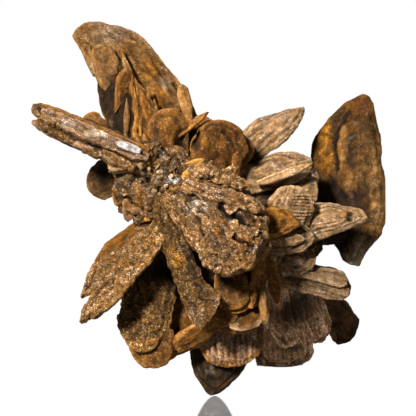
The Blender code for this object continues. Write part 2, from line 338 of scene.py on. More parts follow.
# Deep hollows between the blades, darkened with painted shade: where the eye sees each, how wide it is, and
# the height above the face under which it is darkened.
SHADED_HOLLOWS = (
    ((-6.5, 22.5), (4.2, 4.8), 1.0),
    ((-2.5, -16.0), (2.6, 7.0), 15.0),
    ((-14.0, -24.0), (9.0, 6.0), 7.0),
    ((28.0, -32.5), (7.0, 6.0), -11.0),
    ((21.5, 4.5), (4.0, 3.0), 1.0),
    ((16.0, -33.5), (2.4, 7.0), 0.0),
    ((42.5, -11.5), (5.0, 3.5), -5.0),
    ((14.5, 16.5), (2.8, 3.0), -1.0),
    ((-35.0, 10.5), (1.8, 3.5), -2.0),
    ((15.5, -46.0), (2.6, 5.0), -12.0),
    ((-17.0, -8.5), (3.0, 2.5), 9.0),
)
# what each corner keeps: the kind of mark, where its value is held, and how many numbers it has
MARKS = {
    "tint": ("FLOAT_COLOR", "color", 4),
    "sand": ("FLOAT", "value", 1),
    "way": ("FLOAT_VECTOR", "vector", 3),
}


def write_mark(mesh, name, values):
    """Stores a number, a direction or a colour at each corner, for the gypsum to read."""
    kind, slot, _ = MARKS[name]
    mark = mesh.attributes.get(name) or mesh.attributes.new(name, kind, "POINT")
    mark.data.foreach_set(slot, np.ascontiguousarray(values, dtype=np.float32).ravel())


def read_mark(mesh, name):
    _, slot, width = MARKS[name]
    values = np.empty(len(mesh.vertices) * width)
    mesh.attributes[name].data.foreach_get(slot, values)
    return values.reshape(-1, width)


def as_seen(corners):
    """Where the eye sees each corner, right of and above the heart."""
    return corners[:, :2] / (1 - corners[:, 2:] / SEEN_FROM)


def gap_to_line(places, points):
    """How far each place is from a line through these points."""
    nearest = np.full(len(places), np.inf)
    for start, end in zip(points, points[1:]):
        start = np.array(start, dtype=float)
        run = np.array(end) - start
        share = np.clip(((places - start) @ run) / (run @ run), 0, 1)
        nearest = np.minimum(nearest, np.linalg.norm(places - start - share[:, None] * run, axis=1))
    return nearest


def finish_skin(mesh, look, rim_gap, way, seed, features):
    """Roughens a grown shape as its look says, adds its spots and cracks, and colours it."""
    corners = corners_of(mesh)
    normals = normals_of(mesh)
    lift = look.lumps * rough(corners, 8.0, seed, 0.9)
    lift += look.streaks * clouds(way * np.array((1, 0.09, 0.4)), 0.9, seed)
    lift += 0.6 * look.streaks * clouds(way * np.array((1, 0.13, 0.4)), 0.45, seed + 1)
    lift += 0.14 * look.ledge * clouds(way * np.array((0.1, 0.1, 1)), 0.6, seed)
    if look.grains > 0.2:
        lift += look.grains * (grit(corners, 1.1, seed) - 0.6)
        for size, height in CRUSTS:
            crease = np.exp(-((clouds(corners, size, seed + 3) / CREASE_WIDTH) ** 2))
            lift -= height * look.grains * crease * np.clip(0.5 + 2 * clouds(corners, 7.0, seed + 5), 0, 1)
    lift += look.grains * 0.5 * clouds(corners, 0.7, seed + 4)

    patches = clouds(corners, 7.0, seed + 20)
    specks = clouds(corners, 2.2, seed + 21)
    tint = np.array(look.tint) * (1 + 0.25 * patches + 0.3 * specks)[:, None]
    for shade, size, share in ((GOLD, 6.0, 0.5), (MILK, 1.8, 0.12)):
        share = np.clip(2.2 * clouds(corners, size, seed + size) - 0.7, 0, 1)[:, None] * share
        tint = tint * (1 - share) + np.array(shade) * share
    rim = 0.9 * np.exp(-((rim_gap / 1.5) ** 2)) + 0.5 * clouds(corners, 3.5, seed + 7)
    rim = np.clip(rim, 0, 1)[:, None]
    tint = tint * (1 - rim) + np.array(look.rim) * rim
    seen = as_seen(corners)
    facing = np.clip(normals[:, 2] * 4, 0, 1)
    for feature in features:
        if isinstance(feature, Spot):
            gap = (seen - np.array(feature.place)) / np.array(feature.reach)
            share = np.exp(-((gap**2).sum(axis=1) ** 1.5)) * facing
            lift += feature.lift * share
            share = np.clip(feature.share * share * (1 + 0.8 * specks), 0, 1)[:, None]
            tint = tint * (1 - share) + np.array(feature.tint) * share
        elif isinstance(feature, Ribs):
            gap = (seen - np.array(feature.place)) / np.array(feature.reach)
            share = np.exp(-((gap**2).sum(axis=1) ** 3)) * facing
            slip = 0.15 * specks + 0.4 * patches
            wave = np.cos(2 * math.pi * (seen @ np.array(feature.across) + slip) / feature.pitch)
            lift += feature.height * share * wave * (1 + specks)
        else:
            gap = gap_to_line(seen + 0.5 * np.column_stack([specks, patches]), feature.points)
            lift -= feature.depth * np.exp(-((gap / feature.width) ** 2)) * facing
    put_corners(mesh, corners + normals * lift[:, None])
    tint = np.clip(tint * WARMTH, 0.002, 0.9)
    write_mark(mesh, "tint", np.column_stack([tint, np.ones(len(tint))]))
    sand = look.sand * (1 - 0.4 * np.exp(-rim_gap)) + 0.35 * clouds(corners, 5.0, seed + 9)
    write_mark(mesh, "sand", np.clip(sand, 0, 1))
    write_mark(mesh, "way", way + seed)


# The knots' spots: a cluster of white crystals, pale and honey patches, and a dark spot of painted shade
# where the front blades leave the hub.
KNOT_SPOTS = (
    Spot((-11.8, 9.0), (1.6, 1.4), (0.8, 0.8, 0.8), 0.9),
    Spot((-20.0, 10.0), (5.0, 5.0), PALE.tint, 0.4),
    Spot((-14.0, -5.0), (2.0, 3.0), SHADE_AND_DARK_BROWN, 0.7),
    Spot((-26.0, 0.6), (4.5, 3.5), HONEY.tint, 0.8),
)


def rough_knot(lump):
    """A knot, from a ball of triangles. Its noise is the solid's own, with the crust added."""
    bpy.ops.mesh.primitive_ico_sphere_add(subdivisions=6, radius=1, calc_uvs=False)
    item = bpy.context.object
    item.name = lump.name
    ball = corners_of(item.data)
    middle = Vector(lump.centre)
    swelling = np.array([1 + 0.25 * noise.noise(Vector(corner) * 1.7 + middle) for corner in ball])
    corners = np.array(lump.centre) + ball * np.array(lump.radii) * swelling[:, None]
    corners += ball * (2.0 * rough(corners, 7.0, 2, 1.0))[:, None]
    put_corners(item.data, corners)
    finish_skin(item.data, CRUST, np.full(len(corners), 9.0), corners, seed_of(lump.name), KNOT_SPOTS)
    return item


def smooth_between(values, share):
    """The value at this share of a row of evenly spaced values, on a smooth curve through them."""
    place = min(max(share, 0.0), 1.0) * (len(values) - 1)
    first = min(int(place), len(values) - 2)
    places = (min(max(first + step, 0), len(values) - 1) for step in (-1, 0, 1, 2))
    before, start, end, after = (values[near] for near in places)
    t = place - first
    return 0.5 * (
        2 * start
        + (end - before) * t
        + (2 * before - 5 * start + 4 * end - after) * t**2
        + (3 * start - before - 3 * end + after) * t**3
    )


def half_width(blade, along, side, seed):
    edge = blade.right if side > 0 else blade.left
    if isinstance(edge, tuple):
        past = max(0.0, along - TIP_TURN) / (1 - TIP_TURN)
        short = 0.0 if blade.rooting else max(0.0, 1 - along / ROOT_TURN)
        width = smooth_between(edge, along) * math.sqrt((1 - past**2) * (1 - short**2))
    elif along < blade.widest:
        width = edge * math.sqrt(1 - (1 - STUMP**2) * ((blade.widest - along) / blade.widest) ** 2)
    else:
        power, root = ENDS[blade.end]
        width = edge * max(0.0, 1 - ((along - blade.widest) / (1 - blade.widest)) ** power) ** root
    wander = 1 + CHIPPING * min(1.0, 2 * blade.look.nicks) * noise.noise(Vector((along * 6, side * 3, seed)))
    run = along * math.dist(blade.root, blade.tip)
    nicks = sum(deep * noise.noise(Vector((run / size, side * 5, seed + size))) for size, deep in NICKS)
    return max(0.05, width * wander + blade.look.nicks * nicks * min(1.0, width / 3))


def directions_of(blade):
    """The ways a blade grows, faces and spreads, and its length."""
    root = np.array(blade.root, dtype=float)
    run = np.array(blade.tip, dtype=float) - root
    forward = unit(run)
    faces = np.array(blade.faces, dtype=float)
    outward = unit(faces - forward * (faces @ forward))
    return root, forward, outward, np.cross(forward, outward), np.linalg.norm(run)


def half_thickness(blade, along, across):
    power = SECTIONS[blade.section]
    past = np.clip((along - blade.widest) / (1 - blade.widest), 0, 1)
    oval = np.sqrt(np.clip(1 - across**2, 0, 1))
    belly = (1 - ROUNDING) * (1 - np.abs(across) ** power) + ROUNDING * oval
    return blade.thick / 2 * (1 - THINNING * past**power) * belly


def grow(blade, *features):
    """One blade, from a globe with its poles at the root and the tip."""
    seed = seed_of(blade.name)
    root, forward, outward, sideways, length = directions_of(blade)
    reach = np.max(blade.left) + np.max(blade.right)
    bpy.ops.mesh.primitive_uv_sphere_add(
        segments=max(12, 2 * round(reach / STEP)),
        ring_count=max(10, round(length * (1 + blade.rooting) / STEP)),
        radius=1,
        calc_uvs=False,
    )
    item = bpy.context.object
    item.name = blade.name
    globe = corners_of(item.data)
    turn = np.arccos(np.clip(-globe[:, 2], -1, 1))
    along = 0.5 * turn / math.pi + 0.25 * (1 - np.cos(turn))
    spread = np.hypot(globe[:, 0], globe[:, 1])
    off_pole = spread > 1e-5
    swing = np.abs(np.arctan2(globe[:, 1], globe[:, 0]))
    across = (1 - EVENNESS) * -np.cos(swing) + EVENNESS * (2 * swing / math.pi - 1)
    across = np.where(off_pole, across, 0.0)
    side = np.where(off_pole & (np.abs(globe[:, 1]) > 1e-5), np.sign(globe[:, 1]), 0.0)

    stations = 1 - np.linspace(1, 0, 300) ** 1.6
    rights = np.interp(along, stations, [half_width(blade, s, 1, seed) for s in stations])
    lefts = np.interp(along, stations, [half_width(blade, s, -1, seed) for s in stations])
    width = np.where(across > 0, rights, lefts) * np.minimum(1.0, spread * 30)
    place = np.column_stack([along * 4, across * 2, np.full(len(along), seed + 0.5)])
    swelling = np.array([1 + SWELLING * noise.noise(spot) for spot in place.tolist()])
    depth = half_thickness(blade, along, across) * swelling
    run = (along - blade.rooting * (1 - along) ** 4) * length
    flat = np.column_stack([across * width, run, 7 * side])
    layer = blade.look.layer * min(1.0, blade.thick / 4)
    drift = 0.8 * rough(flat, 11.0, seed, 1.2)
    count = depth / layer + drift
    ledges = layer * (np.floor(count) + np.clip((count % 1 - 0.5) * 3 + 0.5, 0, 1) - drift)
    shown = blade.look.ledge * np.clip(4 * (1 - np.abs(across)), 0, 1) * np.clip(8 * (1 - along), 0, 1)
    depth = np.maximum(depth + shown * (ledges - depth), 0.15 * depth)
    corners = (
        root
        + forward * run[:, None]
        + sideways * (across * width)[:, None]
        + outward * (side * depth)[:, None]
    )
    put_corners(item.data, corners)
    way = np.column_stack([across * width, run, side * depth])
    rim_gap = np.minimum((1 - np.abs(across)) * width, (1 - along) * length)
    held = min(1.0, 0.25 + blade.thick / 6)
    look = blade.look._replace(lumps=blade.look.lumps * held, grains=blade.look.grains * held)
    finish_skin(item.data, look, rim_gap, way, seed, features)
    return item


def shaded(look, share):
    """The same look, lighter or darker."""
    tint, rim = (tuple(share * part for part in colour) for colour in (look.tint, look.rim))
    return look._replace(tint=tint, rim=rim)


def flakes_on(blade, count, longest=6.0, shortest=2.5):
    """Thin plates that lie on a blade's faces, most of them on its front."""
    throw = np.random.default_rng(seed_of(blade.name))
    root, forward, outward, sideways, length = directions_of(blade)
    for number in range(count):
        along = throw.uniform(0.2, 0.9)
        across = throw.uniform(-0.8, 0.8)
        width = half_width(blade, along, across, seed_of(blade.name))
        side = 1 if throw.random() < 0.75 else -1
        depth = half_thickness(blade, along, np.array(across)) - 0.25
        place = root + forward * along * length + sideways * across * width + outward * side * depth
        reach = min(throw.uniform(shortest, longest), 0.9 * width + 1)
        toward = forward + sideways * throw.uniform(-0.6, 0.6)
        toward = unit(toward + outward * side * throw.uniform(0, 0.25))
        yield Blade(
            f"{blade.name}_flake_{number}",
            tuple(place - 0.6 * reach * toward),
            tuple(place + 0.4 * reach * toward),
            reach * throw.uniform(0.3, 0.55),
            reach * throw.uniform(0.3, 0.55),
            throw.uniform(0.8, 1.4),
            tuple(outward * side + 0.2 * throw.normal(size=3)),
            0.55,
            str(throw.choice(("round", "leaf", "blunt"))),
            "slab",
            0.1,
            shaded(blade.look, throw.uniform(0.8, 1.2))._replace(lumps=0.2, ledge=0.0),
        )


def crumbs_on(lump, count, looks, longest=5.0):
    """Broken bits of crystal that stand out of a knot every way."""
    throw = np.random.default_rng(seed_of(lump.name))
    for number in range(count):
        toward = unit(throw.normal(size=3) + np.array((-0.2, 0.2, 0.9)))
        place = np.array(lump.centre) + toward * np.array(lump.radii) * 0.9
        reach = throw.uniform(1.6, longest)
        lie = unit(toward + 0.8 * throw.normal(size=3))
        yield Blade(
            f"{lump.name}_crumb_{number}",
            tuple(place - 0.5 * reach * lie),
            tuple(place + 0.5 * reach * lie),
            reach * throw.uniform(0.22, 0.45),
            reach * throw.uniform(0.22, 0.45),
            reach * throw.uniform(0.2, 0.45),
            tuple(throw.normal(size=3) + toward),
            0.5,
            str(throw.choice(("leaf", "blunt", "blunt", "spear"))),
            "slab",
            0.1,
            shaded(looks[throw.integers(len(looks))], throw.uniform(0.8, 1.3))._replace(
                lumps=0.15, ledge=0.0
            ),
        )


def fuse(name, items):
    """The overlapping crystals as one closed surface with nothing left inside."""
    whole, *others = items
    whole.name = name
    together = bpy.data.collections.new(name)
    for item in others:
        together.objects.link(item)
    bpy.ops.object.select_all(action="DESELECT")
    bpy.context.view_layer.objects.active = whole
    join = whole.modifiers.new("join", "BOOLEAN")
    join.operation = "UNION"
    join.operand_type = "COLLECTION"
    join.collection = together
    join.solver = "MANIFOLD"
    bpy.ops.object.modifier_apply(modifier=join.name)
    for item in others:
        bpy.data.objects.remove(item)
    bpy.data.collections.remove(together)
    return whole


def spread_evenly(values, ends, weights):
    """Each corner's mean of its neighbours, along the edges."""
    start, end = ends
    total = np.column_stack([
        np.bincount(start, weights[end] * column[end], len(values))
        + np.bincount(end, weights[start] * column[start], len(values))
        for column in values.T
    ])
    count = np.bincount(start, weights[end], len(values)) + np.bincount(end, weights[start], len(values))
    return total / np.maximum(count, 1e-9)[:, None], count > 0


def mend_seams(mesh, ends):
    """Gives the corners that the joining made, where two crystals meet, the marks of those beside them."""
    known = (read_mark(mesh, "tint")[:, :3] < 0.95).any(axis=1)
    for name in MARKS:
        values = read_mark(mesh, name)
        have = known.copy()
        for _ in range(6):
            means, met = spread_evenly(values, ends, have.astype(float))
            new = met & ~have
            values[new] = means[new]
            have |= new
        write_mark(mesh, name, values)


def to_face(points):
    """From the rose's own frame, in metres, to the face's millimetres."""
    away = (np.asarray(points) - np.array(HEART)) / MM
    rise = away[:, 2] * math.cos(LEAN) + away[:, 1] * math.sin(LEAN)
    return np.column_stack([away[:, 0], rise, away[:, 2] * math.sin(LEAN) - away[:, 1] * math.cos(LEAN)])


def filled_space(solid):
    """Where gypsum fills the air round the heart, on a grid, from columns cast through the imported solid."""
    low = np.floor(solid.min(axis=0)) - SPACE_EDGE
    size = (np.ceil(solid.max(axis=0)) + SPACE_EDGE - low).astype(int)
    space = np.zeros(size)
    mesh = bpy.data.objects["sand_rose"].data
    faces = [tuple(face.vertices) for face in mesh.polygons]
    tree = BVHTree.FromPolygons(solid.tolist(), faces)
    for across, rise in itertools.product(range(size[0]), range(size[1])):
        start = Vector((low[0] + across + 0.51, low[1] + rise + 0.53, low[2] - 1))
        crossings = []
        while True:
            spot = tree.ray_cast(start, Vector((0, 0, 1)))[0]
            if spot is None:
                break
            crossings.append(spot.z)
            start = spot + Vector((0, 0, 1e-3))
        for enter, leave in zip(crossings[::2], crossings[1::2]):
            space[across, rise, max(0, round(enter - low[2])):max(0, round(leave - low[2]))] = 1
    return low, space


def blurred(space, width):
    """The space with each cell shared out among those near it."""
    reach = np.arange(-3 * width, 3 * width + 1)
    weights = np.exp(-0.5 * (reach / width) ** 2)
    weights /= weights.sum()
    for axis in range(3):
        space = np.apply_along_axis(lambda row: np.convolve(row, weights, "same"), axis, space)
    return space


def crowding(corners, normals):
    """How shut in each place is by the gypsum before it: 0 in the open, 1 deep in a gap."""
    total = np.zeros(len(corners))
    for space, width in CROWDED:
        place = corners + normals * 1.1 * width - SPACE_LOW - 0.5
        place = np.clip(place, 0, np.array(space.shape) - 1.01)
        cell = place.astype(int)
        inside = place - cell
        for corner in itertools.product((0, 1), repeat=3):
            weight = np.prod(np.where(corner, inside, 1 - inside), axis=1)
            near = cell + corner
            total += weight * space[near[:, 0], near[:, 1], near[:, 2]] / len(CROWDED)
    return total


def wear_and_soil(mesh, ends):
    """Pales the ridges with painted highlight and wear, and darkens the creases, gaps and hollows with
    painted shade.
    """
    corners = corners_of(mesh)
    normals = normals_of(mesh)
    tint = read_mark(mesh, "tint")
    even = np.ones(len(corners))
    smooth = corners
    share = np.zeros(len(corners))
    for turn in range(1, max(RIDGES) + 1):
        smooth = spread_evenly(smooth, ends, even)[0]
        if turn in RIDGES:
            share += ((corners - smooth) * normals).sum(axis=1) / RIDGES[turn]
    share = np.clip(share, -1.6, 1.0)[:, None]
    # ridges paled as painted highlight and wear, creases darkened as painted shade
    tint[:, :3] *= np.where(share > 0, 1 + RIDGE_WEAR_AND_HIGHLIGHT * share, np.exp(CREASE_SHADE * share))
    # painted shade: the more shut in a place is and the deeper in a hollow, the darker it is painted
    painted_shade = GAP_SHADE * np.clip(crowding(corners, normals) - GAP_START, 0, 1)
    for place, reach, depth in SHADED_HOLLOWS:
        gap = ((as_seen(corners) - np.array(place)) / np.array(reach)) ** 2
        painted_shade += HOLLOW_SHADE * np.exp(-gap.sum(axis=1) ** 1.5) * np.clip((depth - corners[:, 2]) / 2, 0, 1)
    tint[:, :3] *= np.exp(-painted_shade)[:, None]
    write_mark(mesh, "tint", np.clip(tint, 0.002, 0.9))


def stand_up(item, material):
    """Takes a piece from the face's millimetres to its place in the rose, within the solid's box."""
    ends = np.empty(len(item.data.edges) * 2, dtype=np.int32)
    item.data.edges.foreach_get("vertices", ends)
    ends = ends.reshape(-1, 2).T
    mend_seams(item.data, ends)
    wear_and_soil(item.data, ends)
    face = Matrix(((1, 0, 0, 0), (0, 0, -1, 0), (0, 1, 0, 0), (0, 0, 0, 1)))
    item.data.transform(
        Matrix.Translation(HEART) @ Matrix.Rotation(-LEAN, 4, "X") @ face @ Matrix.Scale(MM, 4)
    )
    put_corners(item.data, np.clip(corners_of(item.data), cad_box[0], cad_box[1]))
    item.data.shade_smooth()
    item.data.materials.clear()
    item.data.materials.append(material)
    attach(item, "root")
    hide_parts("sand_rose")


def ramp(tree, factor, *stops):
    node = add_node(tree, "ValToRGB", Fac=factor)
    while len(node.color_ramp.elements) < len(stops):
        node.color_ramp.elements.new(0.5)
    for element, (place, colour) in zip(node.color_ramp.elements, stops):
        element.position = place
        element.color = (*colour, 1)
    return node.outputs["Color"]


def tinted(tree, kind, factor, first, second):
    node = add_node(tree, "Mix", {"data_type": "RGBA", "blend_type": kind})
    for socket, value in ((node.inputs[0], factor), (node.inputs[6], first), (node.inputs[7], second)):
        if isinstance(value, bpy.types.NodeSocket):
            tree.links.new(value, socket)
        else:
            socket.default_value = value
    return node.outputs[2]


def gypsum():
    """Sandy gypsum: each blade's own colour, clouded and streaked along it, with grains of sand in it."""
    material = bpy.data.materials.new("sandy_gypsum")
    material.use_nodes = True
    tree = material.node_tree
    skin = tree.nodes["Principled BSDF"]
    tint = add_node(tree, "Attribute", {"attribute_name": "tint"}).outputs["Color"]
    sand = add_node(tree, "Attribute", {"attribute_name": "sand"}).outputs["Fac"]
    way = add_node(tree, "Attribute", {"attribute_name": "way"}).outputs["Vector"]
    place = add_node(tree, "TexCoord").outputs["Object"]

    # cloudy patches a millimetre or two wide
    cloud = add_node(tree, "TexNoise", Vector=place, Scale=650.0, Detail=5.0, Roughness=0.72).outputs["Fac"]
    clouded = ramp(
        tree, cloud, (0.34, (0.5, 0.44, 0.38)), (0.5, (0.95, 0.94, 0.92)), (0.68, (1.5, 1.6, 1.75))
    )
    body = tinted(tree, "MULTIPLY", 1.0, tint, clouded)

    # streaks that follow the blade, and thin layers through its thickness
    stretched = add_node(tree, "Mapping", Vector=way, Scale=(1.6, 0.2, 1.6)).outputs["Vector"]
    streak = add_node(tree, "TexNoise", Vector=stretched, Scale=1.0, Detail=3.0, Roughness=0.65)
    streaked = ramp(tree, streak.outputs["Fac"], (0.35, (0.7, 0.66, 0.62)), (0.65, (1.3, 1.34, 1.38)))
    body = tinted(tree, "MULTIPLY", 0.75, body, streaked)

    # grains of sand, each with a shade of its own; the brightest, far above the blade's colour, are painted
    # glints
    grain = add_node(tree, "TexVoronoi", Vector=place, Scale=3000.0)
    shade = add_node(tree, "SeparateColor", Color=grain.outputs["Color"]).outputs["Red"]
    grains = ramp(
        tree,
        shade,
        (0.0, (0.36, 0.3, 0.22)),
        (0.3, (0.75, 0.7, 0.64)),
        (0.7, (1.1, 1.12, 1.2)),
        (0.86, (1.6, 2.15, 3.8)),
        (1.0, (2.9, 4.6, 11.8)),
    )
    sandy = tinted(tree, "MULTIPLY", 1.0, body, grains)
    colour = tinted(tree, "MIX", sand, body, sandy)
    tree.links.new(colour, skin.inputs["Base Color"])

    # worn smooth where there is little sand
    dulled = add_node(tree, "MapRange", Value=sand, _3=0.42, _4=0.7).outputs["Result"]
    tree.links.new(dulled, skin.inputs["Roughness"])
    skin.inputs["Specular IOR Level"].default_value = 0.14
    skin.inputs["Specular Tint"].default_value = (1.0, 0.8, 0.55, 1.0)
    skin.inputs["Subsurface Weight"].default_value = 0.15
    skin.inputs["Subsurface Radius"].default_value = (1.0, 0.45, 0.2)
    skin.inputs["Subsurface Scale"].default_value = 0.0012

    # the grains stand up, and fine ripples cover the rest
    ripple = add_node(tree, "TexNoise", Vector=place, Scale=2600.0, Detail=3.0, Roughness=0.7).outputs["Fac"]
    rippled = add_node(tree, "Bump", Strength=0.8, Distance=0.00035, Height=ripple).outputs["Normal"]
    raised = add_node(
        tree, "Bump", Strength=0.55, Distance=0.0004, Height=grain.outputs["Distance"], Normal=rippled
    )
    tree.links.new(raised.outputs["Normal"], skin.inputs["Normal"])
    return material


def lay(name, blades, chips=(), features=None, flakes=None):
    """Grows the blades with their features and flakes, and fuses them into one piece of the rose."""
    features = features or {}
    flakes = flakes or {}
    grown = []
    for blade in blades:
        grown.append(grow(blade, *features.get(blade.name, ())))
        count, longest = flakes.get(blade.name, (0, 5.0))
        grown += [grow(flake) for flake in flakes_on(blade, count, longest)]
    grown += [grow(small, *features.get(small.name, ())) for small in chips]
    stand_up(fuse(name, grown), sandy_gypsum)


sandy_gypsum = gypsum()
SPACE_LOW, gypsum_space = filled_space(to_face(corners_of(bpy.data.objects["sand_rose"].data)))
CROWDED = [(blurred(gypsum_space, width), width) for width in (2, 4)]
stand_up(fuse("rose_heart", [rough_knot(lump) for lump in KNOTS]), sandy_gypsum)

CRUMB_COUNTS = (12, 18, 16, 22, 16)
CRUMB_LOOKS = (shaded(CRUST, 1.3), shaded(PALE, 0.7), shaded(CRUST, 0.6), HONEY, PALE)
hub_knots = [lump for lump in KNOTS if lump.name.startswith("hub")]
crumbs = [
    grow(crumb, *KNOT_SPOTS)
    for lump, count in zip(hub_knots, CRUMB_COUNTS)
    for crumb in crumbs_on(lump, count, CRUMB_LOOKS)
]
stand_up(fuse("rose_crumbs", crumbs), sandy_gypsum)

# ---- The crown: fins, discs and spears above the heart ----
# Blades of gypsum, each one crystal that grew flat and wide and stopped at a rounded rim. They start in
# the core and pass through one another, so every blade runs on past its root into its neighbours.

CROWN = (
    Blade("top_fin", (-18, 23, -16), (-43, 64.5, -28), (12, 12, 11, 6.6, 6.8, 6.5),
          (18, 18, 18, 16, 13.5, 3), 9, (0.25, 0.1, 1), look=TAWNY),
    # The slab is dark in its own colour, and darker still with painted shade, as the fin's shaded left face.
    Blade("top_fin_slab", (-26, 22, -9), (-35, 55, -20), 7, 6.5, 6, (-0.35, 0.1, 1), 0.5, "leaf",
          look=shaded(UMBER, 0.6)),
    Blade("top_fin_sliver", (-20, 22, -7), (-30, 55, -18), 3, 3.5, 5, (0.1, 0.1, 1), 0.4, "spear",
          look=HONEY),
    Blade("top_fin_splinter", (-17, 22, -7), (-25, 44, -13), 3, 4, 5, (0.3, 0.1, 1), 0.4, "leaf",
          look=HONEY),
    Blade("tab", (-30, 20, -15), (-42, 32, -20), 4, 4, 3, (0, 0.5, 1), 0.5, "blunt", "slab", look=HONEY),
    Blade("crest_disc", (-12, 15, 0), (-14, 33, 3), 7, 7, 4, (-0.1, 0.2, 1), 0.6, "round", look=AMBER),
    Blade("crest_shelf", (-9, 18, -4), (1.5, 29.5, -3), 6, 6, 3, (0.45, 0.75, 0.35), 0.6, "blunt", "slab"),
    Blade("crown_disc", (2, 9, 3), (5, 29, 9), 9.5, 9.5, 5, (0.15, 0.1, 1), 0.55, "round", look=AMBER),
    Blade("crown_disc_back", (3, 12, -3), (12, 24, 3), 6, 7, 4, (0.4, 0.2, 1), 0.6, "round", look=AMBER),
    Blade("upper_spear", (9, 16, -8), (33, 34, -17), 8, 6, 7, (-0.2, 0.5, 0.8), 0.5, "leaf", look=PALE),
    Blade("upper_leaf", (11, 9, -2), (35, 16, -8), 7, 7, 6, (-0.1, 0.5, 0.85), 0.5, "round", look=PALE),
    Blade("upper_leaf_shelf", (21, 5, -6), (37, 12, -11), 6, 6, 5, (-0.1, 0.7, 0.7), 0.6, "round",
          look=PALE),
)


def chip(name, root, tip, left, right, thick, faces, widest, end, look, section="slab", rooting=0.1):
    """A small crystal that lies on a blade's face, with little of its root sunk in it."""
    return Blade(name, root, tip, left, right, thick, faces, widest, end, section, rooting, look)


CROWN_CHIPS = (
    chip("fin_corner", (-39.5, 50, -25), (-43.4, 63.6, -28), 3, 2.8, 4.5, (0, 0.1, 1), 0.5, "blunt", GLASSY,
         rooting=0.3),
    chip("fin_lump", (-31.6, 39, -15), (-36.8, 56.5, -18.5), 4.6, 4.2, 4, (-0.1, 0.1, 1), 0.6, "blunt",
         shaded(TAWNY, 0.8)),
    chip("fin_wedge", (-27.5, 45.5, -12.5), (-31.5, 32, -9.5), 2.6, 3, 2.4, (0.35, 0, 1), 0.25, "spear",
         shaded(HONEY, 0.7)),
    chip("splinter_tall", (-22.9, 25.6, -7), (-26.2, 46.9, -13), 1.3, 1.6, 3.5, (0.2, 0.1, 1), 0.45,
         "spear", HONEY, "lens"),
    chip("splinter_right", (-19.6, 25.6, -8), (-20.7, 41.5, -12.5), 1.7, 1.9, 4, (0.3, 0.1, 1), 0.45,
         "leaf", HONEY, "lens"),
    chip("splinter_low", (-17.2, 26.4, -9), (-18.3, 37.3, -12), 1.6, 1.6, 3.5, (0.3, 0.1, 1), 0.5, "leaf",
         TAWNY, "lens"),
    chip("splinter_left", (-25.2, 22.2, -5), (-23.3, 35.1, -8.5), 1.1, 1.3, 3, (0, 0.1, 1), 0.45, "spear",
         HONEY, "lens"),
    chip("splinter_dark", (-27.6, 23.5, -6), (-27.4, 37.2, -10), 1, 1.2, 3, (-0.2, 0.1, 1), 0.45, "leaf",
         DUSKY, "lens"),
    chip("fin_step", (-6.2, 30.1, -17), (-9.3, 42.6, -19), 2.3, 2.4, 3, (0.3, 0.1, 1), 0.6, "round", TAWNY,
         "lens"),
    chip("base_chip", (-22.2, 19.2, 4), (-24.9, 26.9, 2), 1.4, 1.2, 2.5, (0.2, 0.2, 1), 0.5, "leaf", HONEY),
    chip("base_chip_right", (-19.8, 18.5, 4), (-21.5, 24.8, 3), 1.2, 1.1, 2.2, (0.2, 0.2, 1), 0.5, "leaf",
         HONEY),
    chip("crest_lip", (-10.6, 23.9, 1), (0.3, 31.9, 1.5), 1.4, 1.8, 1.8, (0.3, 0.75, 0.5), 0.5, "leaf",
         HONEY),
    chip("gold_plate_left", (-12.4, 10.1, 11), (-1.2, 16.0, 12.5), 1.9, 1.6, 1.1, (0, 0.4, 1), 0.5, "round",
         GOLDEN),
    chip("gold_plate", (-8.5, 5.9, 13), (-6.6, 12.6, 14), 1.6, 1.7, 1.1, (0, 0.3, 1), 0.5, "leaf", GOLDEN),
    chip("gold_plate_right", (-4.5, 7.8, 15), (0.6, 14.8, 16), 1.8, 1.8, 1.2, (0, 0.4, 1), 0.5, "round",
         HONEY),
    chip("crown_ridge", (9.5, 10.5, 5), (10.5, 24.4, 6), 2.6, 2.2, 2, (0.7, 0.1, 1), 0.5, "leaf", AMBER,
         "lens"),
)
CROWN_FEATURES = {
    "top_fin": (
        Spot((-37.0, 50.0), (2.0, 5.0), MILK, 0.25),
        Spot((-33.0, 57.5), (6.0, 3.0), MILK, 0.15),
        Spot((-19.0, 46.0), (3.0, 3.5), GOLD, 0.8),
        Spot((-16.5, 36.5), (3.0, 4.0), GOLD, 0.8),
        Spot((-14.0, 41.0), (1.6, 2.2), MILK, 0.25),
        # painted shade on the fin's left face, which is turned from the lamp
        Spot((-35.0, 34.0), (4.5, 9.0), SHADE_AND_DARK_BROWN, 0.75),
        Crack(((-41.5, 57.5), (-38.5, 52.0), (-36.0, 48.5)), 0.5, 1.2),
        Crack(((-11.0, 42.0), (-7.5, 34.5), (-9.5, 31.0)), 0.6, 0.8),
    ),
    # painted shade on the slab, the fin's shaded left face
    "top_fin_slab": (Spot((-34.0, 34.0), (4.0, 9.0), SHADE_AND_DARK_BROWN, 0.5),),
    "top_fin_sliver": (Spot((-28.5, 47.0), (2.2, 6.0), PALE.tint, 0.6),),
    # dark dents where the crest and crown discs meet: painted shade in the hollow between them
    "crest_disc": (Spot((-8.2, 21.0), (2.6, 4.5), SHADE_AND_DARK_BROWN, 0.95, -2.2),),
    "crown_disc": (
        Spot((-4.6, 23.5), (2.0, 4.5), SHADE_AND_DARK_BROWN, 0.9, -1.5),
        Crack(((5.0, 25.0), (9.0, 20.0), (10.5, 13.0)), 0.5, 0.5),
    ),
}
lay("rose_crown", CROWN, CROWN_CHIPS, CROWN_FEATURES)

# ---- The left spear and its discs ----
# Two long plates lie close together and point left, with a dark gap between them. Below their root two
# small discs stand on edge.

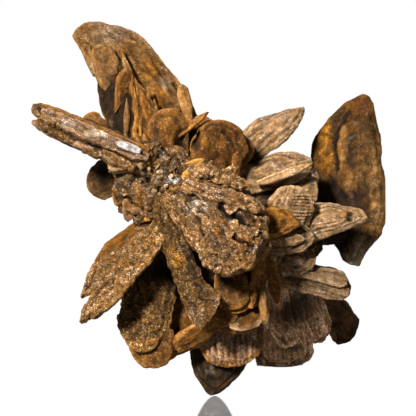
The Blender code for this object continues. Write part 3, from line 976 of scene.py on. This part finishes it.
LEFT = (
    Blade("left_spear", (-19, 17, 5), (-58, 33, 8), 9, 8, 6, (0.3, 0.93, 0.2), 0.5, "blunt", "slab",
          look=shaded(SANDY, 0.6)),
    Blade("left_spear_under", (-26, 14, 5), (-58, 28.5, 8), 7, 7, 3.5, (0.3, 0.93, 0.1), 0.5, "leaf",
          "slab", look=GREYTAN),
    Blade("left_disc", (-28, 14, -11), (-41, 6.5, -18), 6.5, 6.5, 3.5, (-0.4, 0, 1), 0.6, "round",
          look=DUSKY),
    Blade("left_disc_inner", (-23, 9, -4), (-30, 0.5, -9), 5, 5, 3, (-0.5, 0, 1), 0.6, "round", look=AMBER),
)
LEFT_CHIPS = (
    chip("spear_side", (-22.5, 17.5, 12), (-54.5, 31.6, 13), 3.2, 2.8, 6, (0.1, 0.15, 1), 0.5, "blunt",
         GREYTAN),
    chip("spear_belly", (-27, 14, 10), (-56, 28.7, 11.5), 2.5, 2.2, 6, (0.1, 0.15, 1), 0.5, "blunt",
         shaded(SANDY, 0.55)),
    chip("spear_cap", (-22.5, 19.6, 12.5), (-55, 33.6, 13), 1.5, 1.3, 4.5, (0.2, 0.6, 0.8), 0.5, "blunt",
         shaded(HONEY, 0.8), "lens"),
    chip("glassy_plate", (-22.5, 18.6, 15), (-30.5, 21.4, 15.8), 1.5, 1.6, 1.6, (0.1, 0.2, 1), 0.5, "leaf",
         GLASSY._replace(tint=(0.42, 0.43, 0.56), rim=(0.5, 0.51, 0.64), grains=0.25, nicks=1.3)),
    chip("tan_lump", (-22, 15.4, 9), (-33, 13.6, 9), 3, 3.2, 6, (0, 0.2, 1), 0.5, "blunt",
         shaded(PALE, 0.8)),
    chip("disc_middle", (-29, 12, 0), (-30.5, 0.7, -4), 2, 2.4, 3, (-0.5, 0, 1), 0.6, "round", AMBER,
         "lens"),
    chip("disc_low", (-25.2, 5.3, 3), (-27, -4.7, -1), 2.2, 2.4, 3, (-0.5, 0, 1), 0.6, "round", GREYTAN,
         "lens"),
)
LEFT_FEATURES = {
    "spear_belly": (
        # painted shade in the groove between the two plates
        Spot((-39.0, 20.5), (6.0, 1.2), SHADE_AND_DARK_BROWN, 0.9, -0.8),
        Spot((-50.0, 26.0), (6.0, 1.0), SHADE_AND_DARK_BROWN, 0.5),
    ),
    # painted shade in the notch at the spear's tip
    "spear_cap": (Spot((-55.5, 33.0), (2.0, 1.2), SHADE_AND_DARK_BROWN, 0.9, -1.4),),
    "left_spear": (Spot((-55.5, 33.0), (2.2, 1.4), SHADE_AND_DARK_BROWN, 0.9, -1.4),),
    "spear_side": (Spot((-36.0, 25.0), (4.0, 1.2), MILK, 0.5), Spot((-47.0, 28.0), (3.0, 1.0), MILK, 0.35)),
}
lay("rose_left", LEFT, LEFT_CHIPS, LEFT_FEATURES)

# ---- The front: forked blade, middle spear, big leaf and block ----
# The sandiest crystals, which grew furthest out of the face. The block is a stack of thick plates with
# cracks between them, and the forked blade ends in three points.

FRONT = (
    Blade("forked_blade", (-14, -5, 12), (-41, -37, 23), 6, 5, 5, (-0.5, 0.3, 0.8), 0.6, "leaf", "slab",
          look=SANDY),
    Blade("forked_blade_prong", (-16, -5, 10), (-41, -29, 19), 5, 6.5, 4, (-0.5, 0.3, 0.8), 0.6, "leaf",
          "slab", look=SANDY),
    Blade("forked_blade_ledge", (-17, -4, 8), (-38, -22, 15), 5, 6, 4, (-0.5, 0.3, 0.8), 0.6, "leaf",
          "slab", look=HONEY),
    # The middle spear's dark tint is its own dark orange with painted shade, where the block shades it.
    Blade("middle_spear", (-13, -7, 15), (-2, -39, 23), (3, 5, 6.3, 6.8, 9.3, 2.5),
          (3.5, 3.8, 3.8, 3.4, 2.8, 1.5), 5, (-0.4, 0.1, 0.9),
          look=SANDY._replace(tint=(0.105, 0.052, 0.014), rim=(0.23, 0.12, 0.035))),
    Blade("middle_spear_back", (-8, -11, 8), (3, -37, 14), 7, 7, 4, (0.5, 0, 0.85), 0.7, "leaf",
          look=DUSKY),
    Blade("big_leaf", (-15, -14, 0), (-22, -47, 12), 8, 10, 5, (-0.15, -0.1, 1), 0.6, "round",
          look=SANDY._replace(tint=(0.160, 0.080, 0.024), rim=(0.31, 0.165, 0.045))),
    Blade("big_leaf_under", (-3, -21, -6), (-21, -52.5, 6), (13, 15, 15.5, 12, 7, 2),
          (8, 12, 16, 16, 13, 5), 6, (-0.1, -0.3, 1), look=HONEY),
)
FRONT_CHIPS = (
    chip("under_leaf_edge", (-15, -47, 7.5), (3.5, -35.5, 9), 2.6, 2.8, 2.2, (0.3, -0.4, 1), 0.5, "blunt",
         HONEY),
    chip("under_leaf_step", (-9, -46, 6.5), (4.5, -38, 7), 2.4, 2.4, 2, (0.3, -0.4, 1), 0.5, "leaf",
         shaded(HONEY, 0.7)),
    chip("under_leaf_layer", (-14.1, -40, 9), (-19, -52.4, 9.5), 5, 5, 2.5, (0, -0.1, 1), 0.6, "round",
         AMBER),
)
FRONT_FEATURES = {
    "middle_spear": (
        Spot((-4.5, -36.0), (2.8, 3.2), PALE.tint, 0.6),
        Spot((-9.5, -18.0), (2.0, 2.5), GOLD, 0.6),
        # painted shadow that the block casts on the spear's right half
        Spot((-5.0, -17.5), (2.6, 7.0), SHADE_AND_DARK_BROWN, 0.9),
        Spot((-1.0, -25.0), (2.5, 4.0), SHADE_AND_DARK_BROWN, 0.6),
        Spot((4.0, -32.0), (2.5, 4.0), GREYTAN.rim, 0.6),
    ),
    # painted shade on the back blade, deep behind the spear
    "middle_spear_back": (Spot((1.0, -20.0), (5.0, 8.0), SHADE_AND_DARK_BROWN, 0.85),),
    "big_leaf": (
        Spot((-19.0, -45.5), (7.0, 2.2), HONEY.rim, 0.8, 0.4),
        # painted shadow of the forked blade and middle spear above
        Spot((-15.0, -33.0), (7.0, 4.0), SHADE_AND_DARK_BROWN, 0.4),
    ),
}
lay("rose_front", FRONT, FRONT_CHIPS, FRONT_FEATURES)

BLOCK = (
    Blade("front_block", (-7, 6, 8), (12, -19, 29), (7, 11, 17, 16, 14, 6), (7, 10.5, 9.5, 9, 9.5, 6), 14,
          (0.05, 0.2, 1), section="slab", look=RUGGED),
    Blade("front_block_lobe", (2, -4, 20), (8.5, -20.5, 31), 9, 9, 6, (0.05, 0.15, 1), 0.6, "round", "slab",
          look=RUGGED),
    Blade("front_block_cap", (-1, 4, 12), (1, 13, 20), 5, 6, 5, (0.1, 0.5, 1), 0.5, "round", "slab",
          look=RUGGED),
)
BLOCK_CHIPS = (
    chip("block_ridge", (-10, 2, 20), (10, -17, 28), 3.4, 4.2, 6, (-0.35, 0.1, 1), 0.5, "blunt", RUGGED),
    chip("block_brow", (-6, 6, 18), (17, -1, 23), 3.6, 3.4, 6, (0.1, 0.5, 1), 0.6, "leaf", RUGGED),
    chip("block_crest", (-4, 9.5, 16.5), (14, 6.5, 19), 3.0, 2.6, 5, (0, 0.5, 1), 0.5, "blunt", RUGGED),
    chip("block_cap_left", (-3.9, 7.8, 17), (1.9, 15.5, 17.5), 2.4, 2.6, 2.4, (0, 0.5, 1), 0.5, "leaf",
         RUGGED),
    chip("block_cap_right", (1.9, 7.7, 18), (10.3, 13.4, 18), 2.6, 2.6, 2.6, (0.1, 0.5, 1), 0.5, "leaf",
         RUGGED),
    chip("block_side", (13, -1, 20), (18.5, -14, 22), 3.0, 3.0, 6, (0.5, 0.1, 1), 0.5, "blunt", RUGGED),
    chip("block_step", (7, -12.5, 26), (16.5, -9, 26.5), 1.6, 2.2, 4, (0.1, 0.1, 1), 0.5, "leaf", RUGGED),
    chip("block_low_left", (-10.3, -1, 18), (0.6, -14, 25), 2.4, 2.4, 5, (-0.5, 0.1, 1), 0.5, "leaf",
         RUGGED),
    chip("block_nose", (6.5, -15, 29), (14.5, -18.5, 29), 2.4, 2.6, 4, (0.1, 0.1, 1), 0.5, "round", SANDY),
)
BLOCK_CRACKS = (
    Crack(((4.5, 0.5), (9.0, -2.5), (13.5, -5.0), (17.8, -7.5)), 0.9, 2.6),
    Crack(((8.3, -9.0), (11.5, -11.0), (15.0, -13.0)), 0.7, 2.2),
    Crack(((-2.0, 9.0), (3.0, 7.6), (7.0, 7.8)), 0.6, 1.4),
    Crack(((-7.0, 1.5), (-3.0, -4.0), (-1.5, -9.0)), 0.6, 0.9),
    # painted shade in the hollow under the block's overhang
    Spot((12.0, -3.5), (5.0, 2.2), SHADE_AND_DARK_BROWN, 0.85, -0.8),
    Spot((11.5, -11.0), (3.5, 1.2), RUST, 0.8),
    Spot((-4.0, 1.0), (4.0, 3.0), MILK, 0.25),
)
BLOCK_FEATURES = {blade.name: BLOCK_CRACKS for blade in BLOCK + BLOCK_CHIPS}
BLOCK_FLAKES = {"front_block": (14, 5.0), "front_block_lobe": (5, 4.0)}
lay("rose_block", BLOCK, BLOCK_CHIPS, BLOCK_FEATURES, BLOCK_FLAKES)

# ---- The right: fin, ribbed leaf and spears ----
# A tall fin stands apart at the far right. Before it come shorter leaves and spears, one of them with
# ribs across its face.

RIGHT = (
    Blade("right_fin", (51, -20, -22), (54, 39.5, -24), (4.2, 11.5, 17.5, 19, 15, 4),
          (1.5, 8.5, 10, 8, 6, 3), 8, (-0.35, 0.1, 0.93), rooting=0, look=UMBER),
    Blade("ribbed_leaf", (23, -11, 0), (30, 7, 7), 8, 8, 7, (0.1, 0.1, 1), 0.55, "round", look=PALE),
    Blade("fin_root", (24, -8, -18), (50, -6, -22), 6, 6, 5, (0, 0.2, 1), 0.5, "blunt", "slab", look=DUSKY),
    Blade("right_spear", (27, -8, -3), (53, -3.5, 2), (9, 9.5, 9.3, 7.6, 5.6, 2.5),
          (6, 5.5, 4.4, 3.3, 2.2, 1.0), 8, (0.1, 0.4, 0.9), look=PALE),
    Blade("gold_wedge", (15, -4, 5), (30, -5.5, 11), 6, 5, 5, (-0.1, 0.3, 1), 0.5, "leaf"),
    Blade("right_slab", (17, -12, 1), (35, -9, 5), 5, 5, 6, (0, 0.2, 1), 0.6, "round",
          look=shaded(PALE, 0.6)),
    Blade("right_slab_under", (20, -16, -4), (36, -18, -2), 6, 6, 6, (0, 0.3, 1), 0.6, "round",
          look=GREYTAN),
    Blade("low_spear", (23, -21, -6), (48, -27.5, -8), 8, 7, 7, (0.1, 0.7, 0.65), 0.6, "blunt",
          look=shaded(PALE, 0.5)),
)
RIGHT_CHIPS = (
    chip("right_slab_face", (17.8, -8.9, 6), (32.2, -10.5, 7), 3, 3.2, 4, (0, 0.2, 1), 0.55, "leaf",
         shaded(PALE, 0.6)),
    chip("right_slab_low", (17.9, -14.6, 2), (33.8, -11.6, 3), 1.6, 1.8, 2.2, (0, 0.4, 1), 0.5, "leaf",
         PALE),
    chip("low_spear_layer", (25, -20, -2), (46.8, -25.2, -4.2), 4.6, 2.4, 1.8, (0.1, 0.6, 0.8), 0.75,
         "blunt", shaded(PALE, 0.6)),
    chip("low_spear_base", (28, -24.5, -3), (47.8, -28.6, -5), 2.4, 2, 2.4, (0.1, 0.4, 0.9), 0.7, "blunt",
         shaded(PALE, 0.6)),
    chip("upper_leaf_line", (17.9, 8.6, 3), (34.6, 14.6, 0.5), 1.6, 1.8, 2, (0, 0.5, 0.9), 0.5, "leaf",
         PALE),
    chip("shelf_plate", (24, 6, -5), (37, 7.5, -8), 6, 5.5, 4, (0, 0.3, 1), 0.75, "blunt",
         shaded(PALE, 0.8)),
)
RIGHT_FEATURES = {
    "right_fin": (
        Spot((38.5, 24.0), (2.4, 12.0), GOLD, 0.8),
        Spot((42.0, 16.0), (4.0, 5.0), GOLD, 0.4),
        Spot((50.0, 34.0), (4.5, 4.0), RUST, 0.6),
        Spot((45.0, 22.0), (1.8, 7.0), TAWNY.tint, 0.9, 0.7),
        Spot((47.5, 9.0), (3.0, 4.0), TAWNY.tint, 0.9, 0.6),
        Spot((52.0, 17.0), (3.2, 10.0), TAWNY.tint, 0.6, 0.3),
        Spot((56.0, 5.0), (2.0, 16.0), TAWNY.rim, 0.7),
        Spot((43.5, 6.0), (3.5, 8.0), SHADE_AND_DARK_BROWN, 0.5, -0.5),
        Spot((50.0, 2.0), (2.5, 6.0), SHADE_AND_DARK_BROWN, 0.4, -0.4),
        # the fin's pale foot, painted paler still as painted light where the right spear shades it
        Spot((49.0, -15.5), (7.0, 6.0), PALE.rim, 0.9),
        Spot((48.0, -17.0), (4.0, 3.0), MILK, 0.5),
        Crack(((47.0, 32.0), (44.0, 27.0), (42.0, 20.0), (43.0, 13.0)), 0.7, 0.8),
    ),
    "ribbed_leaf": (Ribs((31.5, 0.0), (3.6, 5.2), 1.07, 0.3),),
    "gold_wedge": (Spot((25.0, -2.5), (5.0, 3.5), GOLD, 0.4),),
    # painted shade in a dent near the spear's tip
    "right_spear": (Spot((47.0, -3.0), (1.2, 1.8), SHADE_AND_DARK_BROWN, 0.7, -1.2),),
}
lay("rose_right", RIGHT, RIGHT_CHIPS, RIGHT_FEATURES)

# ---- The feet: scallops and the blades it stands on ----
# Short discs overlap like scales down the middle, and broad dark blades below them reach the table, where
# their tips are worn flat.

LOWER = (
    Blade("scallop_small", (6, -18, 3), (10, -33, 16), 5, 5, 3, (0.1, 0, 1), 0.6, "round", look=AMBER),
    Blade("scallop_upright", (19, -12, 4), (15, -32, 14), 4, 4, 3, (0.8, 0, 0.6), 0.6, "round", look=AMBER),
    Blade("scallop_wide", (8, -22, 1), (12, -41, 12), 9, 9, 4, (0.1, 0.1, 1), 0.6, "round", look=AMBER),
    Blade("small_spear", (21, -17, 0), (23, -32, 3), 2.2, 2.2, 2.5, (0, 0, 1), 0.6, "leaf", look=AMBER),
    # foot_fan is made twice as light as painted light: the block keeps the lamp off it
    Blade("foot_fan", (7, -31, -3), (8, -53, 1), 11, 11, 6, (0, 0.1, 1), 0.6, "round",
          look=shaded(GREYTAN, 2.1)._replace(rim=HONEY.rim, grains=0.1)),
    Blade("front_foot", (4, -38, -8), (1, -63, -4), 11, 9, 7, (0, -0.1, 1), 0.45, "leaf", look=ASHEN),
    # the right foot and its shelf are made about four times lighter as painted light: the blades above keep
    # the lamp off them
    Blade("right_foot", (23, -31, -15), (28, -56, -27), 10, 11, 8, (0, -0.1, 1), 0.6, "blunt",
          look=shaded(GREYTAN, 4.0)),
    Blade("right_foot_shelf", (32, -28, -20), (40, -47, -33), 6, 6, 5, (0.2, -0.1, 1), 0.6, "round",
          look=shaded(GREYTAN, 3.6)),
    Blade("far_foot", (37, -27, -25), (52, -46, -46), 6, 7, 5, (0.4, 0, 1), 0.7, "blunt", look=DUSKY),
)
FOOT_CHIPS = (
    chip("scallop_disc", (5.5, -20.5, 15), (9.8, -32.6, 18), 5.6, 5.2, 1.8, (0.1, 0, 1), 0.6, "round",
         AMBER, "lens"),
    chip("scallop_edge", (6, -21, 13.5), (10.6, -34, 16), 6.3, 6, 1.8, (0.1, 0, 1), 0.6, "round", HONEY,
         "lens"),
    chip("vertical_plate", (18, -14, 13), (13.8, -32.5, 17), 1.7, 1.6, 4, (0.8, 0, 0.6), 0.4, "leaf",
         AMBER._replace(lumps=1.2, grains=0.3, nicks=1.2)),
    chip("fan_edge", (17.6, -26, 13), (18.6, -38, 17), 1.3, 1.3, 3, (0.8, 0, 0.6), 0.5, "leaf",
         DUSKY._replace(grains=0.3, nicks=1.3)),
    chip("scallop_rim", (11, -27, 6), (11, -39.8, 17), 7.6, 7, 2.2, (0, 0.66, 0.75), 0.55, "round",
         HONEY._replace(rim=PALE.tint, nicks=1.2), "lens"),
    chip("scallop_step", (4, -30, 12), (6, -38.5, 15.5), 4.6, 4.4, 2.2, (-0.1, 0.3, 1), 0.6, "round", AMBER,
         "lens"),
    # these three are made as light as the right foot, painted light for the same shade
    chip("right_foot_face", (24.5, -33, -16), (27.5, -53, -21.5), 7.5, 8, 4, (0, 0, 1), 0.65, "blunt",
         shaded(GREYTAN, 4.0), rooting=0.3),
    chip("right_foot_ledge", (24, -39, -15.5), (30, -46.5, -16.5), 4, 5, 2.4, (0, 0.2, 1), 0.6, "round",
         shaded(GREYTAN, 4.0), rooting=0.2),
    chip("shelf_face", (33, -32, -20), (38.5, -45.5, -28), 4.6, 4.6, 3.4, (0.1, 0, 1), 0.65, "blunt",
         shaded(GREYTAN, 3.6), rooting=0.3),
)
FOOT_FEATURES = {
    # painted shade in dents between the overlapping scallops
    "scallop_disc": (Spot((6.0, -25.0), (4.5, 4.5), SHADE_AND_DARK_BROWN, 0.45, -0.8),),
    "scallop_rim": (Spot((9.5, -36.0), (5.0, 2.6), SHADE_AND_DARK_BROWN, 0.4, -0.5),),
    "foot_fan": (
        Ribs((7.0, -46.0), (8.0, 4.5), 2.1, 0.13, (1.0, 0.12)),
        # painted shade in a shallow dent across the fan
        Spot((7.0, -44.5), (8.0, 3.0), SHADE_AND_DARK_BROWN, 0.25, -0.3),
        Spot((1.0, -52.0), (6.0, 2.0), HONEY.tint, 0.7),
    ),
    "right_foot_face": (
        Ribs((27.5, -51.0), (8.0, 3.0), 1.7, 0.1, (1.0, -0.1)),
        Spot((26.0, -42.0), (5.0, 3.0), HONEY.tint, 0.6, 0.5),
        # painted shade in a groove across the foot
        Spot((27.0, -46.5), (6.0, 1.6), SHADE_AND_DARK_BROWN, 0.4, -0.6),
    ),
}
lay("rose_feet", LOWER, FOOT_CHIPS, FOOT_FEATURES)

# ---- The back: the blades above ----
# Blades of the same kind fan out behind the crown and the core. Nobody has seen them, so they are guessed
# from the ones in front.

BACK_ABOVE = (
    Blade("back_crest", (-22, 16, -14), (-24, 40, -44), 9, 10, 6, (0.9, 0.3, -0.3), 0.6, "leaf"),
    Blade("back_left", (-26, 8, -14), (-36, 12, -44), 9, 8, 6, (-0.2, 0.9, 0.2), 0.6, "round", look=PALE),
    Blade("back_middle", (-8, 2, -14), (-8, 4, -60), 10, 10, 7, (0.5, 0.85, 0), 0.6, "leaf", look=SANDY),
    Blade("back_right", (18, -4, -18), (20, 6, -62), 10, 9, 7, (-0.6, 0.8, 0.1), 0.6, "round", look=PALE),
    Blade("back_far_right", (30, -10, -20), (46, -2, -54), 9, 8, 6, (0.3, 0.9, 0.2), 0.6, "round"),
    Blade("back_upper_right", (6, 10, -12), (14, 22, -42), 8, 8, 6, (0.9, -0.4, 0), 0.6, "round",
          look=AMBER),
)
lay("rose_back_above", BACK_ABOVE)

# ---- The back: the blades below ----
# Two of these reach down to the table, so that the rose stands with nothing to hold it, and the others lie
# behind and beside them.

BACK_BELOW = (
    Blade("rear_foot", (-12, -20, -14), (-26, -46, -50), 10, 9, 7, (0.8, 0.2, -0.4), 0.6, "leaf"),
    Blade("rear_foot_inner", (4, -24, -18), (2, -44, -56), 9, 8, 6, (-0.7, 0.3, -0.2), 0.6, "round",
          look=DUSKY),
    Blade("back_low_left", (-20, -6, -12), (-30, -16, -44), 8, 9, 5, (-0.6, 0.7, 0), 0.6, "leaf",
          look=SANDY),
    Blade("back_low", (10, -18, -20), (12, -22, -64), 9, 9, 6, (0.7, 0.7, 0), 0.55, "leaf", look=SANDY),
    Blade("back_low_right", (26, -18, -20), (38, -26, -58), 8, 9, 6, (0.7, 0.3, 0.5), 0.6, "leaf",
          look=DUSKY),
)
lay("rose_back_below", BACK_BELOW)
